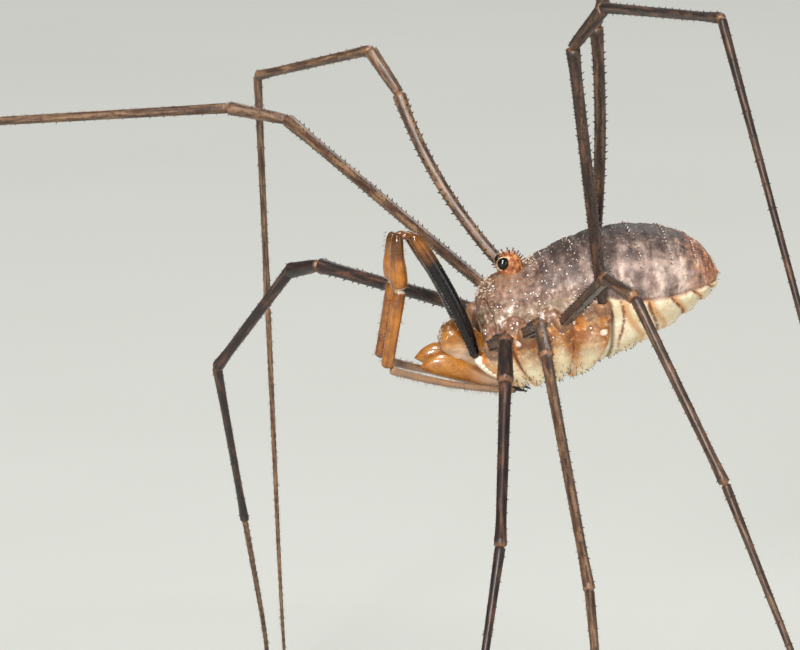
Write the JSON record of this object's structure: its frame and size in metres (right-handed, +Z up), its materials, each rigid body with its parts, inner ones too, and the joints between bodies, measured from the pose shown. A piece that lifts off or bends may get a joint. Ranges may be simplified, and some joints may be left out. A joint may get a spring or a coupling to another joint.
{
  "type": "harvestman",
  "caption": "Life-size still model of a male harvestman with long thin legs, standing, palps folded back under the horned chelicerae.",
  "frame": {"origin": "on the floor under the middle of the whole model's box", "axes": "+Z up, the head points to -X, the animal's right side to +Y"},
  "size_m": [0.0512, 0.0726, 0.0247],
  "materials": {
    "carapace": "mottled brown and cream cuticle with pale tubercles",
    "abdomen": "grey-brown saddle over a cream belly, dull",
    "ocularium": "orange, waxy",
    "eye": "black, glossy as wet",
    "chelicera": "orange with a fine brown net, glossy, black claws",
    "palp_femur": "black-brown, glossy, orange at the far end",
    "palp": "orange with paler streaks, glossy",
    "leg_femur": "black-brown, satin, with small spines",
    "leg": "brown, satin, pale at the joints"
  },
  "bodies": {
    "root": {"chelicera_base_left": "chelicera", "chelicera_base_right": "chelicera", "chelicera_hand_left": "chelicera", "chelicera_hand_right": "chelicera", "eye_left": "eye", "eye_right": "eye", "leg_left_1_femur": "leg_femur", "leg_left_1_metatarsus": "leg", "leg_left_1_patella": "leg", "leg_left_1_tarsus": "leg", "leg_left_1_tibia": "leg", "leg_left_2_femur": "leg_femur", "leg_left_2_metatarsus": "leg", "leg_left_2_patella": "leg", "leg_left_2_tarsus": "leg", "leg_left_2_tibia": "leg", "leg_left_3_femur": "leg_femur", "leg_left_3_metatarsus": "leg", "leg_left_3_patella": "leg", "leg_left_3_tarsus": "leg", "leg_left_3_tibia": "leg", "leg_left_4_femur": "leg_femur", "leg_left_4_metatarsus": "leg", "leg_left_4_patella": "leg", "leg_left_4_tarsus": "leg", "leg_left_4_tibia": "leg", "leg_right_1_femur": "leg_femur", "leg_right_1_metatarsus": "leg", "leg_right_1_patella": "leg", "leg_right_1_tarsus": "leg", "leg_right_1_tibia": "leg", "leg_right_2_femur": "leg_femur", "leg_right_2_metatarsus": "leg", "leg_right_2_patella": "leg", "leg_right_2_tarsus": "leg", "leg_right_2_tibia": "leg", "leg_right_3_femur": "leg_femur", "leg_right_3_metatarsus": "leg", "leg_right_3_patella": "leg", "leg_right_3_tarsus": "leg", "leg_right_3_tibia": "leg", "leg_right_4_femur": "leg_femur", "leg_right_4_metatarsus": "leg", "leg_right_4_patella": "leg", "leg_right_4_tarsus": "leg", "leg_right_4_tibia": "leg", "ocularium": "ocularium", "opisthosoma": "abdomen", "palp_left_femur": "palp_femur", "palp_left_patella": "palp", "palp_left_tarsus": "palp", "palp_left_tibia": "palp", "palp_right_femur": "palp_femur", "palp_right_patella": "palp", "palp_right_tarsus": "palp", "palp_right_tibia": "palp", "prosoma": "carapace"}
  },
  "joints": []
}
